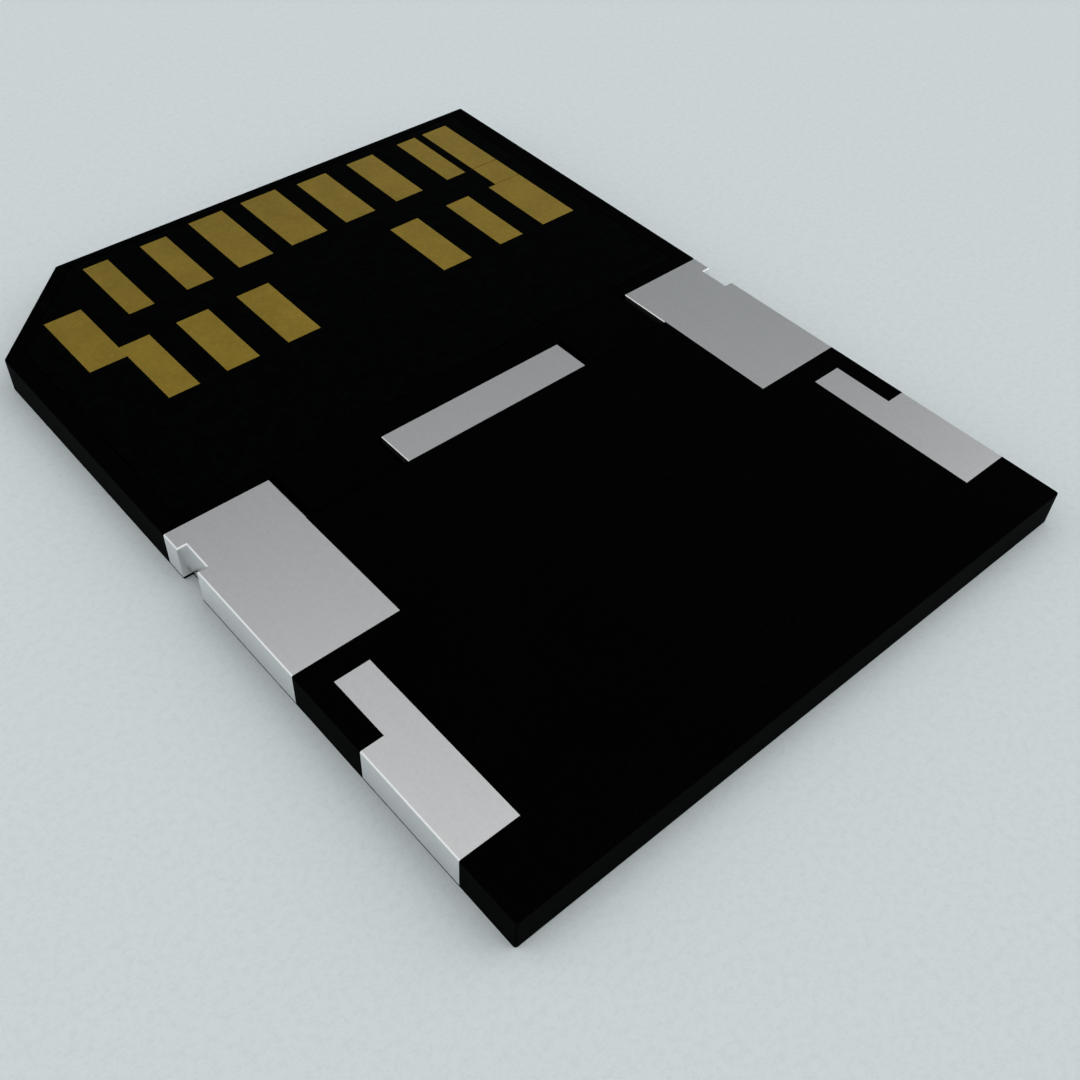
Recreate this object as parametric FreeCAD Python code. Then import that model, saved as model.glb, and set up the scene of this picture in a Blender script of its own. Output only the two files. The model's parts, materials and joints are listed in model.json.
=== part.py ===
import FreeCAD, Part
import os

# Reduced-size multimedia card clipped into the adapter that makes it full size.
# Millimetres. +Y is the contact end, +Z the contact side, z = 0 the label side.
# The origin is the middle of the label side of the two together.

# Outline of the card and of the adapter
card_width = 24.0
card_length = 18.0
card_thickness = 1.4
corner_cut = 4.0
adapter_length = 14.0
corner_radius = 0.1
rim_radius = 0.05

# Sheet metal of the adapter
sheet = 0.25
fold_radius = 0.06
edge_break = 0.04
flange_lift = 0.1

# Front clip of a rail, measured from the side and from the card's rear end
clip_width = 3.9
clip_reach = 3.03
clip_length = 7.13
notch_from_clip_front = 0.81
notch_length = 1.18
notch_depth = 0.345

# Rear field of a rail, an L with its narrow arm towards the clip
bridge_length = 0.93
field_width = 2.07
arm_width = 1.25
arm_length = 2.38
field_length = 4.31
joggle_depth = 0.35
tail_length = 1.2

# Centre latch
latch_width = 8.04
latch_reach = 2.4
latch_root_length = 3.4
anchor_hole_radius = 0.4
anchor_hole_pitch = 2.4
anchor_hole_count = 3

# Lap joint between card and adapter
lap_length = 0.87
lip_thickness = 0.7
seam_gap = 0.05
lap_gap = 0.02
clip_side_gap = 0.25
clip_front_gap = 0.08
flange_gap = 0.05
latch_gap = 0.1

# Card mouldings
cover_thickness = 0.35
label_field_depth = 0.1
label_field_margin = 1.0
label_field_radius = 0.5
front_rim = 0.35
side_rim = 0.7
rear_web = 0.5
shoulder = 0.55
cover_lip_height = 0.15
cover_lip_width = 0.35
cover_lip_gap = 0.05

# Circuit board
board_thickness = 0.3
board_gap = 0.05

# Contacts, as distances from the card's front edge and from its two sides
contact_thickness = 0.05
front_row_inset = 0.81
supply_inset = 0.58
front_row_end = 4.38
first_contact_inset = 5.24
seventh_contact_inset = 3.76
front_row_widths = [1.05, 1.15, 1.55, 1.69, 1.45, 1.37, 0.98]
supply_contacts = ("contact_3", "contact_4")
rear_row_inset = 5.89
rear_row_end = 9.4
rear_left_insets = [6.47, 9.08]
rear_left_widths = [1.35, 1.41]
rear_right_insets = [7.7, 4.93]
rear_right_widths = [1.38, 1.18]
eight_inset = 1.55
eight_front_width = 1.3
eight_rear_width = 1.68
eight_groove_width = 0.04
eight_groove_depth = 0.02
nine_side_inset = 1.99
nine_front_width = 1.47
nine_rear_width = 1.22
nine_inset = 3.03
nine_front_end = 6.5

# Parts on the inner face of the board
memory_length = 11.0
memory_width = 8.0
memory_height = 0.55
controller_length = 5.0
controller_width = 5.0
controller_height = 0.5
controller_inset = 1.6
package_gap = 1.0
package_chamfer = 0.1
chip_part_length = 1.0
chip_part_width = 0.5
capacitor_height = 0.5
resistor_height = 0.35
termination_length = 0.22
termination_step = 0.02
chip_part_pitch = 2.0
chip_part_inset = 3.1
first_chip_part_inset = 7.8
capacitor_count = 3
resistor_count = 4

# How near an edge lies to the spot where it is looked for
near = 0.001

# Places that follow from the sizes above
half_width = card_width / 2
front_y = (card_length + adapter_length) / 2
card_rear_y = front_y - card_length
rear_y = card_rear_y - adapter_length
top = card_thickness
seam_y = card_rear_y + lap_length
clip_inner_x = half_width - clip_width
clip_front_y = card_rear_y + clip_reach
clip_rear_y = clip_front_y - clip_length
notch_front_y = clip_front_y - notch_from_clip_front
notch_rear_y = notch_front_y - notch_length
arm_inner_x = half_width - field_width
arm_front_y = clip_rear_y - bridge_length
field_front_y = arm_front_y - arm_length
field_rear_y = field_front_y - field_length
latch_front_y = card_rear_y + latch_reach
ledge_top = top - lip_thickness - lap_gap
recess_front_y = clip_front_y + clip_front_gap
board_seat = top - board_thickness
board_window_rear_y = recess_front_y + rear_web
chip_part_y = front_y - chip_part_inset
first_contact_x = first_contact_inset - half_width
seventh_contact_x = half_width - seventh_contact_inset
eight_outer_x = half_width - eight_inset
nine_outer_x = nine_side_inset - half_width


def box(x0, x1, y0, y1, z0, z1):
    """A block between two corners."""
    return Part.makeBox(x1 - x0, y1 - y0, z1 - z0, FreeCAD.Vector(x0, y0, z0))


def prism(points, z0, z1):
    """A plan outline raised from z0 to z1."""
    corners = [FreeCAD.Vector(x, y, z0) for x, y in points]
    face = Part.Face(Part.makePolygon(corners + corners[:1]))
    return face.extrude(FreeCAD.Vector(0, 0, z1 - z0))


def strip(section, x0, x1):
    """A side section of (y, z) points drawn out along X."""
    corners = [FreeCAD.Vector(x0, y, z) for y, z in section]
    face = Part.Face(Part.makePolygon(corners + corners[:1]))
    return face.extrude(FreeCAD.Vector(x1 - x0, 0, 0))


def mirrored(shape):
    """The same shape on the other side of the middle plane."""
    return shape.mirror(FreeCAD.Vector(0, 0, 0), FreeCAD.Vector(1, 0, 0))


def round_uprights(shape, radius, spots):
    """Round the upright edges that stand at the given plan spots."""
    edges = []
    for edge in shape.Edges:
        ends = [v.Point for v in edge.Vertexes]
        if len(ends) != 2 or abs(ends[0].z - ends[1].z) < near:
            continue
        middle = (ends[0] + ends[1]) * 0.5
        if any(abs(middle.x - x) + abs(middle.y - y) < near for x, y in spots):
            edges.append(edge)
    return shape.makeFillet(radius, edges)


def round_level_edges(shape, radius, height, wanted):
    """Round the edges at one height whose middle passes the test."""
    edges = []
    for edge in shape.Edges:
        if all(abs(v.Z - height) < near for v in edge.Vertexes):
            middle = edge.valueAt((edge.FirstParameter + edge.LastParameter) / 2)
            if wanted(middle):
                edges.append(edge)
    return shape.makeFillet(radius, edges)


def cut_corner_outline(x0, x1, y0, y1, cut):
    """Plan rectangle whose corner at low x and high y is cut at 45 degrees."""
    return [(x0, y0), (x1, y0), (x1, y1), (x0 + cut, y1), (x0, y1 - cut)]


def inset_cut(side_inset, front_inset):
    """Length of the corner cut after its line has moved in by the mean of two wall widths."""
    wall = (side_inset + front_inset) / 2
    return corner_cut - side_inset - front_inset + wall * 2 ** 0.5


def card_outline_spots():
    """Plan corners of the card that are rounded."""
    return [
        (half_width, front_y),
        (corner_cut - half_width, front_y),
        (-half_width, front_y - corner_cut),
    ]


def both_sides(plan, z0, z1):
    """A plan outline at the right and its mirror image, raised from z0 to z1."""
    right = prism(plan, z0, z1)
    return [right, mirrored(right)]


def flange_room():
    """Space that the clip's flange takes in the card, and the notch below it in the card's sill."""
    outer = half_width + sheet
    wall_x = half_width - sheet - flange_gap
    jog_x = wall_x - notch_depth
    jog_front_y = notch_front_y + sheet + flange_gap
    jog_rear_y = notch_rear_y - sheet - flange_gap
    beyond = card_rear_y - sheet
    plan = [
        (outer, recess_front_y),
        (wall_x, recess_front_y),
        (wall_x, jog_front_y),
        (jog_x, jog_front_y),
        (jog_x, jog_rear_y),
        (wall_x, jog_rear_y),
        (wall_x, beyond),
        (outer, beyond),
    ]
    notch = [
        (outer, notch_front_y),
        (half_width - notch_depth, notch_front_y),
        (half_width - notch_depth, notch_rear_y),
        (outer, notch_rear_y),
    ]
    above_sill = both_sides(plan, flange_lift - lap_gap, top + sheet)
    return above_sill + both_sides(notch, -sheet, top)


def card_blank(z0, z1, rim_height):
    """The card's outline between two heights, with a rounded rim and room for the flanges."""
    outline = cut_corner_outline(-half_width, half_width, card_rear_y, front_y, corner_cut)
    blank = round_uprights(prism(outline, z0, z1), corner_radius, card_outline_spots())
    blank = round_level_edges(blank, rim_radius, rim_height, lambda p: True)
    return blank.cut(flange_room())


def cavity_outline(inset):
    """Plan outline of the hollow under the board, drawn in by an inset."""
    side = side_rim + shoulder + inset
    front = front_rim + shoulder + inset
    return cut_corner_outline(
        side - half_width,
        half_width - side,
        board_window_rear_y + shoulder + inset,
        front_y - front,
        inset_cut(side, front),
    )


def board_outline(gap):
    """Plan outline of the board, or of its seat when the gap is zero."""
    side = side_rim + gap
    front = front_rim + gap
    return cut_corner_outline(
        side - half_width,
        half_width - side,
        board_window_rear_y + gap,
        front_y - front,
        inset_cut(side, front),
    )


def clip_recess(inner_x):
    """Recess in the card's contact face for the clip at the right."""
    floor = top - sheet - lap_gap
    return box(inner_x, half_width + sheet, seam_y, recess_front_y, floor, top + sheet)


def card_frame():
    """Contact-side moulding: rim, board seat, rear block with recesses and ledge."""
    frame = card_blank(cover_thickness, top, top)
    seat = prism(board_outline(0), board_seat, top + sheet)
    cavity = prism(cavity_outline(0), cover_thickness - sheet, top)
    over_ledge = box(
        -half_width - sheet,
        half_width + sheet,
        card_rear_y - sheet,
        seam_y + seam_gap,
        ledge_top,
        top + sheet,
    )
    right_recess = clip_recess(clip_inner_x - clip_side_gap)
    latch_side = latch_width / 2 + clip_side_gap
    latch_floor = top - sheet - latch_gap
    latch_recess = box(
        -latch_side,
        latch_side,
        seam_y,
        latch_front_y + clip_front_gap,
        latch_floor,
        top + sheet,
    )
    tools = [seat, cavity, over_ledge, right_recess, mirrored(right_recess), latch_recess]
    return frame.cut(tools)


def card_cover():
    """Label-side moulding with its locating lip and the shallow label field."""
    plate = card_blank(0, cover_thickness, 0)
    lip_top = cover_thickness + cover_lip_height
    lip = prism(cavity_outline(cover_lip_gap), cover_thickness, lip_top)
    hollow = prism(cavity_outline(cover_lip_gap + cover_lip_width), cover_thickness, top)
    margin = label_field_margin
    field_plan = cut_corner_outline(
        margin - half_width,
        half_width - margin,
        recess_front_y + margin,
        front_y - margin,
        inset_cut(margin, margin),
    )
    field = prism(field_plan, -label_field_depth, label_field_depth)
    field = round_uprights(field, label_field_radius, field_plan)
    return plate.fuse(lip.cut(hollow)).cut(field).removeSplitter()


def bar_plan(middle, width, rear, front):
    """Plan outline of a plain contact."""
    return [
        (middle - width / 2, rear),
        (middle + width / 2, rear),
        (middle + width / 2, front),
        (middle - width / 2, front),
    ]


def front_row_plans():
    """Outlines of contacts 1 to 7, of which the two supply contacts start further forward."""
    plans = {}
    gaps = len(front_row_widths) - 1
    pitch = (seventh_contact_x - first_contact_x) / gaps
    for index, width in enumerate(front_row_widths):
        name = f"contact_{index + 1}"
        inset = supply_inset if name in supply_contacts else front_row_inset
        middle = first_contact_x + index * pitch
        plans[name] = bar_plan(middle, width, front_y - front_row_end, front_y - inset)
    return plans


def rear_row_plans():
    """Outlines of contacts 10 to 13, two from each side."""
    middles = [inset - half_width for inset in rear_left_insets]
    middles += [half_width - inset for inset in rear_right_insets]
    widths = rear_left_widths + rear_right_widths
    plans = {}
    for index, (middle, width) in enumerate(zip(middles, widths)):
        name = f"contact_{index + 10}"
        plans[name] = bar_plan(middle, width, front_y - rear_row_end, front_y - rear_row_inset)
    return plans


def eight_plan():
    """Outline of contact 8, which runs through both rows and widens in the rear one."""
    front = front_y - front_row_inset
    step = front_y - rear_row_inset
    rear = front_y - rear_row_end
    return [
        (eight_outer_x, rear),
        (eight_outer_x, front),
        (eight_outer_x - eight_front_width, front),
        (eight_outer_x - eight_front_width, step),
        (eight_outer_x - eight_rear_width, step),
        (eight_outer_x - eight_rear_width, rear),
    ]


def eight_grooves():
    """Fine grooves across contact 8 where its neck meets the two rows."""
    left = eight_outer_x - eight_rear_width
    half = eight_groove_width / 2
    floor = top - eight_groove_depth
    grooves = []
    for y in (front_y - front_row_end, front_y - rear_row_inset):
        grooves.append(box(left, eight_outer_x + half, y - half, y + half, floor, top + half))
    return grooves


def nine_plan():
    """Outline of contact 9, whose two halves meet at a waist beside the cut corner."""
    front = front_y - nine_inset
    front_end = front_y - nine_front_end
    step = front_y - rear_row_inset
    rear = front_y - rear_row_end
    waist_x = nine_outer_x + nine_front_width
    return [
        (nine_outer_x, front),
        (nine_outer_x, front_end),
        (waist_x, front_end),
        (waist_x, rear),
        (waist_x + nine_rear_width, rear),
        (waist_x + nine_rear_width, step),
        (waist_x, step),
        (waist_x, front),
    ]


def contact_plans():
    """Outline of every contact by node name."""
    plans = front_row_plans() | rear_row_plans()
    plans["contact_8"] = eight_plan()
    plans["contact_9"] = nine_plan()
    return plans


def contacts():
    """The contacts by node name, let in flush with the board's outer face."""
    plans = contact_plans()
    floor = top - contact_thickness
    pads = {name: prism(plan, floor, top) for name, plan in plans.items()}
    pads["contact_8"] = pads["contact_8"].cut(eight_grooves())
    return pads


def circuit_board():
    """Board with a seat for each contact in its outer face."""
    board = prism(board_outline(board_gap), board_seat, top)
    floor = top - contact_thickness
    seats = [prism(plan, floor, top) for plan in contact_plans().values()]
    return board.cut(seats)


def package(left, length, width, height):
    """Moulded chip package under the board, with chamfered free edges."""
    room_rear = board_window_rear_y + shoulder
    room_front = chip_part_y - chip_part_width / 2
    y = (room_rear + room_front) / 2
    low = board_seat - height
    body = box(left, left + length, y - width / 2, y + width / 2, low, board_seat)
    edges = [e for e in body.Edges if all(abs(v.Z - low) < near for v in e.Vertexes)]
    return body.makeChamfer(package_chamfer, edges)


def packages():
    """Controller and memory side by side, by node name."""
    controller_left = side_rim + shoulder + controller_inset - half_width
    memory_left = controller_left + controller_length + package_gap
    return {
        "controller_chip": package(
            controller_left, controller_length, controller_width, controller_height
        ),
        "memory_chip": package(memory_left, memory_length, memory_width, memory_height),
    }


def chip_part(x, height):
    """Chip capacitor or resistor under the board, its end caps a step proud."""
    left = x - chip_part_length / 2
    right = x + chip_part_length / 2
    rear = chip_part_y - chip_part_width / 2
    front = chip_part_y + chip_part_width / 2
    low = board_seat - height
    step = termination_step
    ceramic = box(left, right, rear + step, front - step, low + step, board_seat)
    left_cap = box(left, left + termination_length, rear, front, low, board_seat)
    right_cap = box(right - termination_length, right, rear, front, low, board_seat)
    return ceramic.fuse([left_cap, right_cap]).removeSplitter()


def chip_parts():
    """A row of capacitors and then resistors by node name."""
    parts = {}
    first_x = first_chip_part_inset - half_width
    for index in range(capacitor_count + resistor_count):
        x = first_x + index * chip_part_pitch
        if index < capacitor_count:
            parts[f"capacitor_{index + 1}"] = chip_part(x, capacitor_height)
        else:
            parts[f"resistor_{index - capacitor_count + 1}"] = chip_part(x, resistor_height)
    return parts


def joggle(start_y, end_y):
    """Side section of a sheet that dips under the plastic and comes up again."""
    bend = sheet * (2 ** 0.5 - 1)
    low_z = top - joggle_depth
    upper = [
        (start_y, top),
        (start_y - joggle_depth, low_z),
        (end_y + joggle_depth, low_z),
        (end_y, top),
    ]
    lower = [
        (end_y - bend, top - sheet),
        (end_y + joggle_depth - bend, low_z - sheet),
        (start_y - joggle_depth + bend, low_z - sheet),
        (start_y + bend, top - sheet),
    ]
    return upper + lower


def tail(start_y, length):
    """Side section of a sheet that dips under the plastic and ends there."""
    bend = sheet * (2 ** 0.5 - 1)
    low_z = top - joggle_depth
    end_y = start_y - joggle_depth - length
    return [
        (start_y, top),
        (start_y - joggle_depth, low_z),
        (end_y, low_z),
        (end_y, low_z - sheet),
        (start_y - joggle_depth + bend, low_z - sheet),
        (start_y + bend, top - sheet),
    ]


def clip_plan():
    """Plan outline of the clip at the right."""
    return [
        (clip_inner_x, clip_front_y),
        (half_width, clip_front_y),
        (half_width, notch_front_y),
        (half_width - notch_depth, notch_front_y),
        (half_width - notch_depth, notch_rear_y),
        (half_width, notch_rear_y),
        (half_width, clip_rear_y),
        (clip_inner_x, clip_rear_y),
    ]


def clip_flange_plan():
    """Plan outline of the clip's flange, one sheet thick, with its inward jog."""
    outer = clip_plan()[1:7]
    inner_x = half_width - sheet
    jog_x = inner_x - notch_depth
    inner = [
        (inner_x, clip_rear_y),
        (inner_x, notch_rear_y - sheet),
        (jog_x, notch_rear_y - sheet),
        (jog_x, notch_front_y + sheet),
        (inner_x, notch_front_y + sheet),
        (inner_x, clip_front_y),
    ]
    return outer + inner


def side_rail():
    """Right rail: clip, dip under the bridge, L-shaped field and tail, as one stamping."""
    arm_outer_x = arm_inner_x + arm_width
    clip = prism(clip_plan(), top - sheet, top)
    clip_flange = prism(clip_flange_plan(), flange_lift, top)
    field_plan = [
        (arm_inner_x, arm_front_y),
        (arm_outer_x, arm_front_y),
        (arm_outer_x, field_front_y),
        (half_width, field_front_y),
        (half_width, field_rear_y),
        (arm_inner_x, field_rear_y),
    ]
    field = prism(field_plan, top - sheet, top)
    field_flange = box(half_width - sheet, half_width, field_rear_y, field_front_y, flange_lift, top)
    dip = strip(joggle(clip_rear_y, arm_front_y), arm_inner_x, arm_outer_x)
    end = strip(tail(field_rear_y, tail_length), arm_inner_x, arm_outer_x)
    rail = clip.fuse([clip_flange, field, field_flange, dip, end]).removeSplitter()
    fold_x = half_width - notch_depth - fold_radius
    rail = round_level_edges(
        rail, fold_radius, top, lambda p: p.x > fold_x and clip_rear_y < p.y < clip_front_y
    )
    rail = round_level_edges(
        rail, fold_radius, top, lambda p: abs(p.x - half_width) < near and p.y < field_front_y
    )
    return round_level_edges(rail, edge_break, top, lambda p: abs(p.x - clip_inner_x) < near)


def centre_latch():
    """Spring tongue that laps the card's middle, with its root anchored in the plastic."""
    half = latch_width / 2
    bare = box(-half, half, seam_y, latch_front_y, top - sheet, top)
    root = strip(tail(seam_y, latch_root_length), -half, half)
    latch = bare.fuse(root).removeSplitter()
    latch = round_level_edges(latch, edge_break, top, lambda p: abs(abs(p.x) - half) < near)
    hole_y = seam_y - joggle_depth - latch_root_length / 2
    holes = []
    for index in range(anchor_hole_count):
        x = (index - (anchor_hole_count - 1) / 2) * anchor_hole_pitch
        spot = FreeCAD.Vector(x, hole_y, 0)
        holes.append(Part.makeCylinder(anchor_hole_radius, top, spot))
    return latch.cut(holes)


def adapter_body(metal):
    """Moulded plate and lip, cast round the metal."""
    plate = box(-half_width, half_width, rear_y, card_rear_y - seam_gap, 0, top)
    corners = [(half_width, rear_y), (-half_width, rear_y)]
    plate = round_uprights(plate, corner_radius, corners)
    lip = box(-half_width, half_width, card_rear_y - seam_gap, seam_y, top - lip_thickness, top)
    body = plate.fuse(lip).removeSplitter()
    body = round_level_edges(body, rim_radius, 0, lambda p: True)
    body = round_level_edges(body, rim_radius, top, lambda p: p.y < seam_y - seam_gap)
    bare_folds = []
    for front, rear in ((seam_y, clip_rear_y), (field_front_y, field_rear_y)):
        fold = box(half_width - fold_radius, half_width, rear, front, top - fold_radius, top)
        bare_folds += [fold, mirrored(fold)]
    return body.cut(metal + bare_folds)


def build():
    """Every node of the card and the adapter by name."""
    nodes = {"card_frame": card_frame(), "card_cover": card_cover()}
    pads = contacts()
    nodes["circuit_board"] = circuit_board()
    nodes.update(pads)
    nodes.update(packages())
    nodes.update(chip_parts())
    right = side_rail()
    nodes["right_rail"] = right
    nodes["left_rail"] = mirrored(right)
    nodes["centre_latch"] = centre_latch()
    metal = [nodes["right_rail"], nodes["left_rail"], nodes["centre_latch"]]
    nodes["adapter_body"] = adapter_body(metal)
    return nodes


os.makedirs("parts", exist_ok=True)
for name, shape in build().items():
    shape.exportStep(f"parts/{name}.step")
    print(name, "solids", len(shape.Solids), "valid", shape.isValid(), "mm3", round(shape.Volume, 3))
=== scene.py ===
import json
import math

import bpy
from mathutils import Matrix, Vector

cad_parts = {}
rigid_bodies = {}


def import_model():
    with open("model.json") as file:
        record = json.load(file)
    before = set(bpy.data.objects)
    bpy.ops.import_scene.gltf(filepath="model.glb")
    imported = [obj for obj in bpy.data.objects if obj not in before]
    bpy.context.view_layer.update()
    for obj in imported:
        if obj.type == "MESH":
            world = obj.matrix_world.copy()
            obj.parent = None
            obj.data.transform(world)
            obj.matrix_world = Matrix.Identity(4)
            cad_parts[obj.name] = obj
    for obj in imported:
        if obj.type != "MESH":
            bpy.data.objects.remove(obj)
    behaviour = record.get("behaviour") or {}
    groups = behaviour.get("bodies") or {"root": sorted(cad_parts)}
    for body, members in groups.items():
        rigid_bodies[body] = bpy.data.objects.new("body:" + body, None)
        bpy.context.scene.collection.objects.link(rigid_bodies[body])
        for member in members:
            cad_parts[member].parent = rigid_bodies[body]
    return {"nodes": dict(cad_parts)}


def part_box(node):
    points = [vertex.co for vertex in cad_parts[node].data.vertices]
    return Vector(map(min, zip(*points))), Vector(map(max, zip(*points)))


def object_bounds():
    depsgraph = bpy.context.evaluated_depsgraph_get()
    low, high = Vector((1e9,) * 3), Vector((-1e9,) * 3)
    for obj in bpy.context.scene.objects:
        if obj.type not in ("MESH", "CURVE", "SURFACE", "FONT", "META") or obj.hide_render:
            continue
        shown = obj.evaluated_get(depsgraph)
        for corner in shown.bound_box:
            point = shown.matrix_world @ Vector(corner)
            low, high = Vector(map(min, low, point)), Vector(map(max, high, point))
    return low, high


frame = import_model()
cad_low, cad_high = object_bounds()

MM = 0.001
nodes = frame["nodes"]

# Camera: where the photograph was taken from
eye = Vector((-22.082, -26.567, 31.198)) * MM
aim = Vector((-2.98, -6.60, 1.4)) * MM
camera_roll = math.radians(3.36)
lens_mm = 42.73
sensor_mm = 36.0
camera_sees_to = 16.0

# Floor: a hair below the part, so that no two faces share a plane
floor_colour = (0.750, 0.812, 0.828)
floor_fleck = (0.704, 0.766, 0.783)
floor_size = 8.0
floor_drop = 0.008 * MM

# Two wide soft lamps, with their angles in degrees
key_azimuth = -26.0
key_elevation = 36.0
key_spread = 70.0
key_strength = 0.505
rim_azimuth = 146.0
rim_elevation = 35.0
rim_spread = 62.0
rim_strength = 0.29

# The sky's colour at each height, from 0 at the horizon to 1 straight up
sky_stops = [
    (0.00, (0.590, 0.645, 0.658)),
    (0.30, (0.614, 0.637, 0.645)),
    (0.62, (0.440, 0.448, 0.440)),
    (0.84, (0.900, 0.900, 0.900)),
    (1.00, (0.940, 0.940, 0.940)),
]

# Two unlit walls in the sky, which the metal's flat faces show: azimuth, elevation, reach, depth
dark_walls = [
    (47.4, 12.3, 55.0, 0.51),
    (86.5, 22.2, 30.0, 0.55),
]
dark_tint = (0.0, 0.014, 0.043)
dark_fade_low = 0.05
dark_fade_high = 0.35

# Black mouldings and solder mask
plastic_black = (0.0004, 0.0004, 0.0005)
plastic_worn = (0.0014, 0.0014, 0.0015)
mask_black = (0.0004, 0.0005, 0.0005)
mask_over_copper = (0.0010, 0.0013, 0.0012)
black_gloss = 0.005
card_pattern_shift = (0.0, 0.0, 0.0)
adapter_pattern_shift = (0.013, 0.027, 0.005)

# The witness line where a mould parts: its height on the part and half width in mm, and its rise
parting_height = 0.35
parting_half_width = 0.02
parting_rise = 1.2

# Gold contacts
gold_deep = (0.380, 0.258, 0.036)
gold_bright = (0.500, 0.348, 0.054)
gold_grain_share = 0.5
gold_patch_share = 0.3

# Sheet metal: its own tone on the flat face, and a brighter painted tone on the folds and walls below
# it that stands in for the light they reflect
steel_tone = (0.690, 0.696, 0.700)
steel_tone_dull = (0.640, 0.647, 0.652)
steel_painted_light = (0.930, 0.936, 0.942)
steel_painted_light_dull = (0.880, 0.886, 0.892)
steel_grain_share = 0.6
steel_line_share = 0.6
faintest_line = 0.3

# How far below the sheet's flat face the painted brightening of folds and walls begins, and where it
# is full, in mm
painted_light_starts = 0.003
painted_light_full = 0.0125

# Chip packages and chip parts, inside the card
package_black = (0.010, 0.010, 0.011)
package_grey = (0.022, 0.022, 0.023)
package_gloss = 0.35
ceramic_brown = (0.42, 0.29, 0.17)
ceramic_roughness = 0.55
ceramic_end_share = 0.22
glass_black = (0.012, 0.012, 0.014)
glass_roughness = 0.25
glass_end_share = 0.20
body_darker = 0.82
tin_bright = (0.66, 0.65, 0.63)
tin_roughness = 0.34
band_edge = 0.012

# Sizes of the surface textures, in mm
usual_grain = 0.10
spark_grain = 0.055
mask_grain = 0.16
plating_grain = 0.060
sheet_grain = 0.075
package_grain = 0.07
ceramic_grain = 0.05
paper_grain = 0.09
rolling_line = 0.030
rolling_length = 2.4
usual_smudge = 3.5
gold_smudge = 1.4
paper_smudge = 9.0

# How the noise is shaped in the shared effects
noise_middle = 0.5
coarse_scale_share = 0.37
coarse_share = 0.45
grain_peaks = (0.46, 0.62)
smudge_patches = (0.28, 0.72)
line_peaks = (0.40, 0.62)


def deselect_everything():
    for item in bpy.context.scene.objects:
        item.select_set(False)


def per_metre(size_mm):
    return 1.0 / (size_mm * MM)


# Shader tools

def add_node(tree, kind, **settings):
    made = tree.nodes.new(kind)
    for name, value in settings.items():
        setattr(made, name, value)
    return made


def wire(tree, source, target):
    tree.links.new(source, target)


def split_axes(tree, place):
    made = tree.nodes.new("ShaderNodeSeparateXYZ")
    wire(tree, place, made.inputs[0])
    return made.outputs


def math_node(tree, operation, first, second=0.0, third=0.0, clamp=False):
    made = add_node(tree, "ShaderNodeMath", operation=operation, use_clamp=clamp)
    for socket, value in zip(made.inputs, (first, second, third)):
        if isinstance(value, (int, float)):
            socket.default_value = value
        else:
            wire(tree, value, socket)
    return made.outputs[0]


def colour_mix(tree, factor, first, second):
    made = add_node(tree, "ShaderNodeMix", data_type="RGBA")
    wire(tree, factor, made.inputs["Factor"])
    for socket, value in zip((made.inputs[6], made.inputs[7]), (first, second)):
        if isinstance(value, tuple):
            socket.default_value = (*value, 1.0)
        else:
            wire(tree, value, socket)
    return made.outputs[2]


def noise(tree, place, scale, detail, roughness):
    made = tree.nodes.new("ShaderNodeTexNoise")
    made.inputs["Detail"].default_value = detail
    made.inputs["Roughness"].default_value = roughness
    wire(tree, place, made.inputs["Vector"])
    wire(tree, scale, made.inputs["Scale"])
    return made.outputs["Fac"]


def remap(tree, value, low, high, out_low=0.0, out_high=1.0):
    made = add_node(tree, "ShaderNodeMapRange", clamp=True)
    wire(tree, value, made.inputs["Value"])
    made.inputs["From Min"].default_value = low
    made.inputs["From Max"].default_value = high
    made.inputs["To Min"].default_value = out_low
    made.inputs["To Max"].default_value = out_high
    return made.outputs["Result"]


def new_group(name, inputs, outputs):
    tree = bpy.data.node_groups.new(name, "ShaderNodeTree")
    for label, kind, value in inputs:
        socket = tree.interface.new_socket(label, in_out="INPUT", socket_type=kind)
        if value is not None:
            socket.default_value = value
    for label in outputs:
        tree.interface.new_socket(label, in_out="OUTPUT", socket_type="NodeSocketFloat")
    entry = tree.nodes.new("NodeGroupInput").outputs
    leave = tree.nodes.new("NodeGroupOutput").inputs
    return tree, entry, leave


def use_group(tree, group, place, **values):
    made = add_node(tree, "ShaderNodeGroup", node_tree=group)
    wire(tree, place, made.inputs["Place"])
    for name, value in values.items():
        made.inputs[name.replace("_", " ")].default_value = value
    return made.outputs


# Shared effects

def grain_group():
    """Fine even grain: a height for bump and a tone that marks its peaks."""
    tree, entry, leave = new_group(
        "fine_grain",
        [("Place", "NodeSocketVector", None),
         ("Scale", "NodeSocketFloat", per_metre(usual_grain)),
         ("Contrast", "NodeSocketFloat", 1.0)],
        ["Height", "Peaks"])
    fine = noise(tree, entry["Place"], entry["Scale"], detail=3.0, roughness=0.6)
    coarse_scale = math_node(tree, "MULTIPLY", entry["Scale"], coarse_scale_share)
    coarse = noise(tree, entry["Place"], coarse_scale, detail=2.0, roughness=0.5)
    fine_part = math_node(tree, "MULTIPLY", fine, 1.0 - coarse_share)
    joined = math_node(tree, "MULTIPLY_ADD", coarse, coarse_share, fine_part)
    centred = math_node(tree, "SUBTRACT", joined, noise_middle)
    wire(tree, math_node(tree, "MULTIPLY", centred, entry["Contrast"]), leave["Height"])
    wire(tree, remap(tree, joined, *grain_peaks), leave["Peaks"])
    return tree


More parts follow.
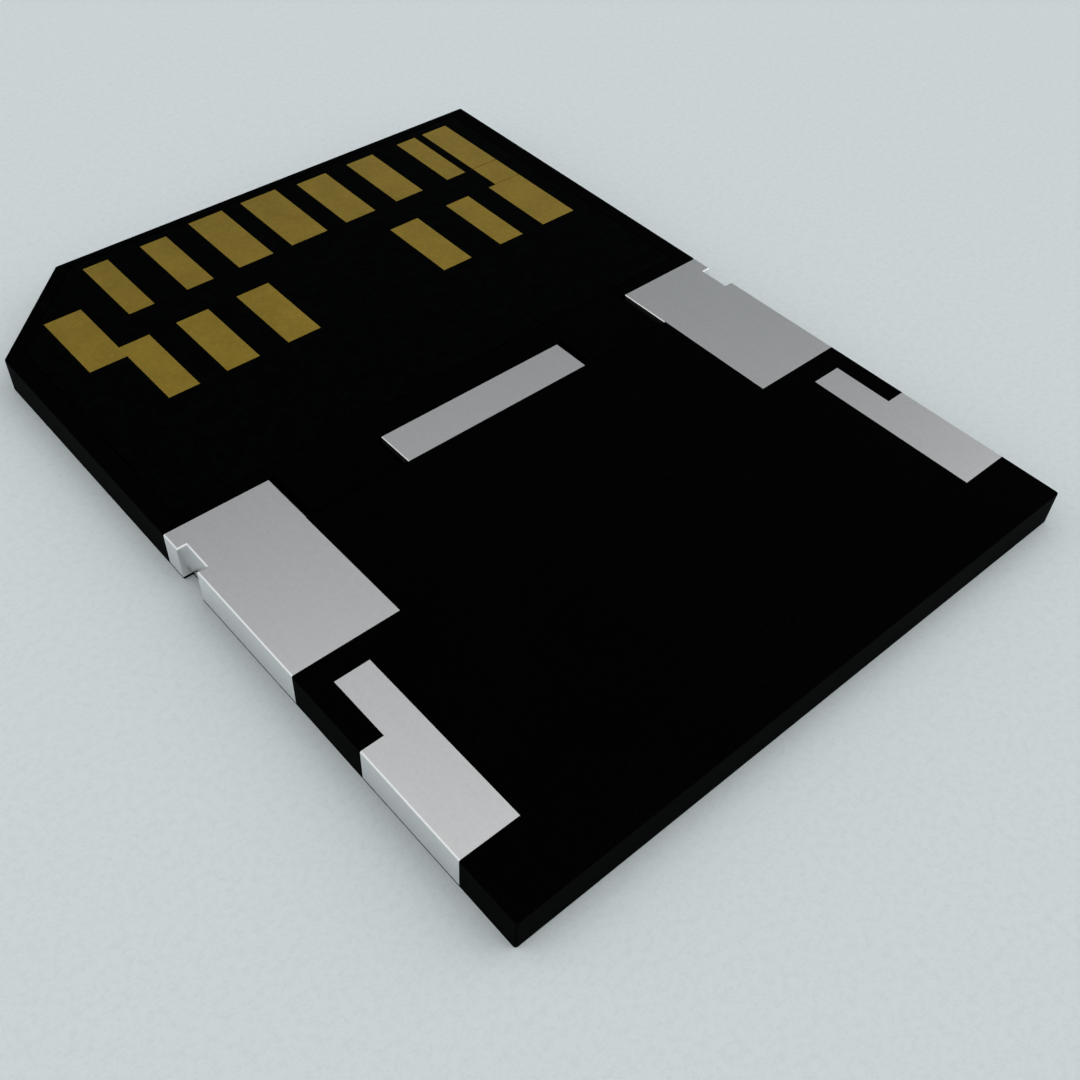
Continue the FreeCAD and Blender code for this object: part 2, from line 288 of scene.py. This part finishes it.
def smudge_group():
    """Slow uneven patches, as handling and storage leave them."""
    tree, entry, leave = new_group(
        "smudges",
        [("Place", "NodeSocketVector", None),
         ("Scale", "NodeSocketFloat", per_metre(usual_smudge)),
         ("Amount", "NodeSocketFloat", 0.05),
         ("Middle", "NodeSocketFloat", 0.5)],
        ["Value", "Patches"])
    cloud = noise(tree, entry["Place"], entry["Scale"], detail=4.0, roughness=0.55)
    centred = math_node(tree, "SUBTRACT", cloud, noise_middle)
    swing = math_node(tree, "MULTIPLY", centred, entry["Amount"])
    wire(tree, math_node(tree, "ADD", swing, entry["Middle"]), leave["Value"])
    wire(tree, remap(tree, cloud, *smudge_patches), leave["Patches"])
    return tree


def rolled_group():
    """Long thin lines along Y, as the rolling mill leaves them on sheet."""
    tree, entry, leave = new_group(
        "rolled_lines",
        [("Place", "NodeSocketVector", None),
         ("Scale", "NodeSocketFloat", per_metre(rolling_line)),
         ("Stretch", "NodeSocketFloat", rolling_line / rolling_length)],
        ["Height", "Lines"])
    axes = split_axes(tree, entry["Place"])
    stretched = tree.nodes.new("ShaderNodeCombineXYZ")
    wire(tree, axes["X"], stretched.inputs["X"])
    wire(tree, math_node(tree, "MULTIPLY", axes["Y"], entry["Stretch"]), stretched.inputs["Y"])
    wire(tree, axes["Z"], stretched.inputs["Z"])
    lines = noise(tree, stretched.outputs[0], entry["Scale"], detail=3.0, roughness=0.55)
    wire(tree, math_node(tree, "SUBTRACT", lines, noise_middle), leave["Height"])
    wire(tree, remap(tree, lines, *line_peaks), leave["Lines"])
    return tree


def ends_group():
    """A mask of the two end bands of a chip part that lies along one axis."""
    tree, entry, leave = new_group(
        "end_bands",
        [("Place", "NodeSocketVector", None),
         ("Centre", "NodeSocketVector", (0.0, 0.0, 0.0)),
         ("Along", "NodeSocketVector", (1.0, 0.0, 0.0)),
         ("Bare half", "NodeSocketFloat", 0.3 * MM)],
        ["Mask"])
    offset = add_node(tree, "ShaderNodeVectorMath", operation="SUBTRACT")
    wire(tree, entry["Place"], offset.inputs[0])
    wire(tree, entry["Centre"], offset.inputs[1])
    along = add_node(tree, "ShaderNodeVectorMath", operation="DOT_PRODUCT")
    wire(tree, offset.outputs[0], along.inputs[0])
    wire(tree, entry["Along"], along.inputs[1])
    reach = math_node(tree, "ABSOLUTE", along.outputs["Value"])
    past_bare = math_node(tree, "SUBTRACT", reach, entry["Bare half"])
    wire(tree, remap(tree, past_bare, -band_edge * MM, band_edge * MM), leave["Mask"])
    return tree


grain = grain_group()
smudges = smudge_group()
rolled = rolled_group()
end_bands = ends_group()


def new_finish(name):
    finish = bpy.data.materials.new(name)
    finish.use_nodes = True
    tree = finish.node_tree
    tree.nodes.clear()
    surface = tree.nodes.new("ShaderNodeBsdfPrincipled")
    output = tree.nodes.new("ShaderNodeOutputMaterial")
    wire(tree, surface.outputs[0], output.inputs["Surface"])
    place = tree.nodes.new("ShaderNodeTexCoord").outputs["Object"]
    return finish, tree, surface.inputs, place


def bump(tree, surface, height, depth_mm):
    made = tree.nodes.new("ShaderNodeBump")
    made.inputs["Distance"].default_value = depth_mm * MM
    wire(tree, height, made.inputs["Height"])
    wire(tree, made.outputs["Normal"], surface["Normal"])


# Finishes

def moulded_plastic(name, pattern_shift):
    """Black moulding with a spark-eroded skin and a witness line where the mould parts."""
    finish, tree, surface, place = new_finish(name)
    moved = tree.nodes.new("ShaderNodeMapping")
    moved.inputs["Location"].default_value = pattern_shift
    wire(tree, place, moved.inputs["Vector"])
    skin = use_group(tree, grain, moved.outputs[0], Scale=per_metre(spark_grain), Contrast=1.0)
    dull = use_group(tree, smudges, moved.outputs[0], Amount=0.16, Middle=0.56)
    patchy = math_node(tree, "MULTIPLY", skin["Peaks"], dull["Patches"])
    wire(tree, colour_mix(tree, patchy, plastic_black, plastic_worn), surface["Base Color"])
    wire(tree, dull["Value"], surface["Roughness"])
    surface["Specular IOR Level"].default_value = black_gloss
    above_line = math_node(tree, "SUBTRACT", split_axes(tree, place)["Z"], parting_height * MM)
    off_line = math_node(tree, "ABSOLUTE", above_line)
    ridge = remap(tree, off_line, 0.0, parting_half_width * MM, parting_rise, 0.0)
    bump(tree, surface, math_node(tree, "ADD", skin["Height"], ridge), depth_mm=0.006)
    return finish


def solder_mask(name):
    """Black solder mask with a fine grain, lighter at the grain's peaks."""
    finish, tree, surface, place = new_finish(name)
    skin = use_group(tree, grain, place, Scale=per_metre(mask_grain), Contrast=0.5)
    dull = use_group(tree, smudges, place, Amount=0.12, Middle=0.42)
    wire(tree, colour_mix(tree, skin["Peaks"], mask_black, mask_over_copper), surface["Base Color"])
    wire(tree, dull["Value"], surface["Roughness"])
    surface["Specular IOR Level"].default_value = black_gloss
    bump(tree, surface, skin["Height"], depth_mm=0.004)
    return finish


def gold_plate(name):
    """Hard gold over nickel, satin from the grain of the copper foil."""
    finish, tree, surface, place = new_finish(name)
    skin = use_group(tree, grain, place, Scale=per_metre(plating_grain), Contrast=1.0)
    dull = use_group(tree, smudges, place, Scale=per_metre(gold_smudge), Amount=0.14, Middle=0.42)
    patches = math_node(tree, "MULTIPLY", dull["Patches"], gold_patch_share)
    blend = math_node(tree, "MULTIPLY_ADD", skin["Peaks"], gold_grain_share, patches)
    wire(tree, colour_mix(tree, blend, gold_deep, gold_bright), surface["Base Color"])
    wire(tree, dull["Value"], surface["Roughness"])
    surface["Metallic"].default_value = 1.0
    bump(tree, surface, skin["Height"], depth_mm=0.005)
    return finish


def rolled_steel(name):
    """Cold-rolled stainless sheet, satin, with the mill's lines; the folds and walls below its flat
    face get a brighter painted tone that stands in for reflected light.
    """
    finish, tree, surface, place = new_finish(name)
    lines = use_group(tree, rolled, place)
    skin = use_group(tree, grain, place, Scale=per_metre(sheet_grain), Contrast=0.8)
    dull = use_group(tree, smudges, place, Amount=0.06, Middle=0.305)
    faint = remap(tree, dull["Patches"], 0.0, 1.0, faintest_line, 1.0)
    uneven_lines = math_node(tree, "MULTIPLY", lines["Lines"], faint)
    streaks = math_node(tree, "MULTIPLY", uneven_lines, steel_line_share)
    blend = math_node(tree, "MULTIPLY_ADD", skin["Peaks"], steel_grain_share, streaks, clamp=True)
    flat = colour_mix(tree, blend, steel_tone, steel_tone_dull)
    # Painted light: the folds and walls below the flat face take this brighter tone in place of the
    # light they reflect
    painted_light_tone = colour_mix(tree, blend, steel_painted_light, steel_painted_light_dull)
    below_face = math_node(tree, "SUBTRACT", cad_high[2], split_axes(tree, place)["Z"])
    painted_light_mask = remap(tree, below_face, painted_light_starts * MM, painted_light_full * MM)
    wire(tree, colour_mix(tree, painted_light_mask, flat, painted_light_tone), surface["Base Color"])
    wire(tree, dull["Value"], surface["Roughness"])
    surface["Metallic"].default_value = 1.0
    bump(tree, surface, math_node(tree, "ADD", lines["Height"], skin["Height"]), depth_mm=0.0014)
    return finish


def epoxy_package(name):
    """Moulded epoxy with a matt, slightly speckled skin."""
    finish, tree, surface, place = new_finish(name)
    skin = use_group(tree, grain, place, Scale=per_metre(package_grain), Contrast=1.0)
    dull = use_group(tree, smudges, place, Amount=0.15, Middle=0.62)
    wire(tree, colour_mix(tree, skin["Peaks"], package_black, package_grey), surface["Base Color"])
    wire(tree, dull["Value"], surface["Roughness"])
    surface["Specular IOR Level"].default_value = package_gloss
    bump(tree, surface, skin["Height"], depth_mm=0.006)
    return finish


def long_axis(low, high):
    size = high - low
    return Vector((1, 0, 0)) if size.x > size.y else Vector((0, 1, 0))


def chip_part(node, body_colour, body_roughness, end_share):
    """A chip part: a fired body with a tinned band round each end."""
    finish, tree, surface, place = new_finish(node + "_finish")
    low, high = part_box(node)
    axis = long_axis(low, high)
    half = (high - low).dot(axis) / 2
    ends = use_group(tree, end_bands, place, Centre=(low + high) / 2, Along=axis,
                     Bare_half=half * (1 - 2 * end_share))
    skin = use_group(tree, grain, place, Scale=per_metre(ceramic_grain), Contrast=1.0)
    darker = tuple(body_darker * part for part in body_colour)
    body = colour_mix(tree, skin["Peaks"], body_colour, darker)
    roughness = remap(tree, ends["Mask"], 0.0, 1.0, body_roughness, tin_roughness)
    wire(tree, colour_mix(tree, ends["Mask"], body, tin_bright), surface["Base Color"])
    wire(tree, ends["Mask"], surface["Metallic"])
    wire(tree, roughness, surface["Roughness"])
    bump(tree, surface, skin["Height"], depth_mm=0.003)
    return finish


def dress(node, finish):
    mesh = nodes[node].data
    mesh.materials.clear()
    mesh.materials.append(finish)


def dress_card():
    card_black = moulded_plastic("card_moulding", card_pattern_shift)
    for node in ("card_frame", "card_cover"):
        dress(node, card_black)
    dress("circuit_board", solder_mask("board_mask"))
    gold = gold_plate("contact_gold")
    epoxy = epoxy_package("chip_epoxy")
    for node in sorted(nodes):
        if node.startswith("contact_"):
            dress(node, gold)
        elif node.endswith("_chip"):
            dress(node, epoxy)
        elif node.startswith("capacitor_"):
            dress(node, chip_part(node, ceramic_brown, ceramic_roughness, ceramic_end_share))
        elif node.startswith("resistor_"):
            dress(node, chip_part(node, glass_black, glass_roughness, glass_end_share))


def dress_adapter():
    dress("adapter_body", moulded_plastic("adapter_moulding", adapter_pattern_shift))
    steel = rolled_steel("rail_steel")
    for node in ("left_rail", "right_rail", "centre_latch"):
        dress(node, steel)


# Floor, light and camera

def lay_floor():
    """A plane of pale paper, matt, with fine flecks."""
    deselect_everything()
    bpy.ops.mesh.primitive_plane_add(size=floor_size, location=(0.0, 0.0, -floor_drop))
    floor = bpy.context.active_object
    floor.name = "floor"
    finish, tree, surface, place = new_finish("floor_paper")
    cloud = use_group(tree, smudges, place, Scale=per_metre(paper_smudge), Amount=0.02, Middle=0.9)
    skin = use_group(tree, grain, place, Scale=per_metre(paper_grain), Contrast=1.0)
    wire(tree, colour_mix(tree, skin["Peaks"], floor_colour, floor_fleck), surface["Base Color"])
    wire(tree, cloud["Value"], surface["Roughness"])
    surface["Specular IOR Level"].default_value = 0.0
    floor.data.materials.append(finish)


def towards(azimuth, elevation):
    """Unit vector from the object; azimuth in degrees from +X towards +Y."""
    around = math.radians(azimuth)
    above = math.radians(elevation)
    level = math.cos(above)
    return Vector((level * math.cos(around), level * math.sin(around), math.sin(above)))


def add_soft_light(name, azimuth, elevation, spread, strength):
    deselect_everything()
    direction = towards(azimuth, elevation)
    bpy.ops.object.light_add(type="SUN", location=direction)
    light = bpy.context.active_object
    light.name = name
    light.rotation_mode = "QUATERNION"
    light.rotation_quaternion = direction.to_track_quat("Z", "Y")
    light.data.angle = math.radians(spread)
    light.data.energy = strength


def wall_shade(tree, direction, azimuth, elevation, reach, depth):
    """How much one unlit wall darkens the sky: most at its middle, nothing past its reach."""
    nearness = add_node(tree, "ShaderNodeVectorMath", operation="DOT_PRODUCT")
    nearness.inputs[1].default_value = towards(azimuth, elevation)
    wire(tree, direction, nearness.inputs[0])
    return remap(tree, nearness.outputs["Value"], math.cos(math.radians(reach)), 1.0, 0.0, depth)


def set_sky():
    """A sky that changes with height, darkened by the unlit walls above the horizon."""
    world = bpy.data.worlds.new("studio")
    bpy.context.scene.world = world
    world.use_nodes = True
    tree = world.node_tree
    tree.nodes.clear()
    direction = tree.nodes.new("ShaderNodeTexCoord").outputs["Generated"]
    height = split_axes(tree, direction)["Z"]
    ramp = tree.nodes.new("ShaderNodeValToRGB")
    wire(tree, height, ramp.inputs[0])
    stops = ramp.color_ramp.elements
    for position, colour in sky_stops[1:-1]:
        stops.new(position)
    for stop, (position, colour) in zip(stops, sky_stops):
        stop.position = position
        stop.color = (*colour, 1.0)
    first_wall, second_wall = [wall_shade(tree, direction, *wall) for wall in dark_walls]
    shade = math_node(tree, "ADD", first_wall, second_wall)
    above_horizon = remap(tree, height, dark_fade_low, dark_fade_high)
    darkness = math_node(tree, "MULTIPLY", shade, above_horizon, clamp=True)
    back = tree.nodes.new("ShaderNodeBackground")
    output = tree.nodes.new("ShaderNodeOutputWorld")
    wire(tree, colour_mix(tree, darkness, ramp.outputs[0], dark_tint), back.inputs["Color"])
    wire(tree, back.outputs[0], output.inputs["Surface"])


def place_camera():
    ahead = (aim - eye).normalized()
    level_right = ahead.cross(Vector((0, 0, 1))).normalized()
    level_up = level_right.cross(ahead)
    right = level_right * math.cos(camera_roll) + level_up * math.sin(camera_roll)
    up = right.cross(ahead)
    turn = Matrix((right, up, -ahead)).transposed().to_4x4()
    lens = bpy.data.cameras.new("camera")
    lens.lens = lens_mm
    lens.sensor_width = sensor_mm
    lens.clip_start = MM
    lens.clip_end = camera_sees_to
    camera = bpy.data.objects.new("camera", lens)
    bpy.context.scene.collection.objects.link(camera)
    camera.matrix_world = Matrix.Translation(eye) @ turn
    bpy.context.scene.camera = camera


dress_card()
dress_adapter()
lay_floor()
add_soft_light("key_light", key_azimuth, key_elevation, key_spread, key_strength)
add_soft_light("rim_light", rim_azimuth, rim_elevation, rim_spread, rim_strength)
set_sky()
place_camera()
bpy.context.scene.view_settings.view_transform = "Standard"

# In the photograph the metal throws no light onto the floor beside it
bpy.context.scene.cycles.caustics_reflective = False
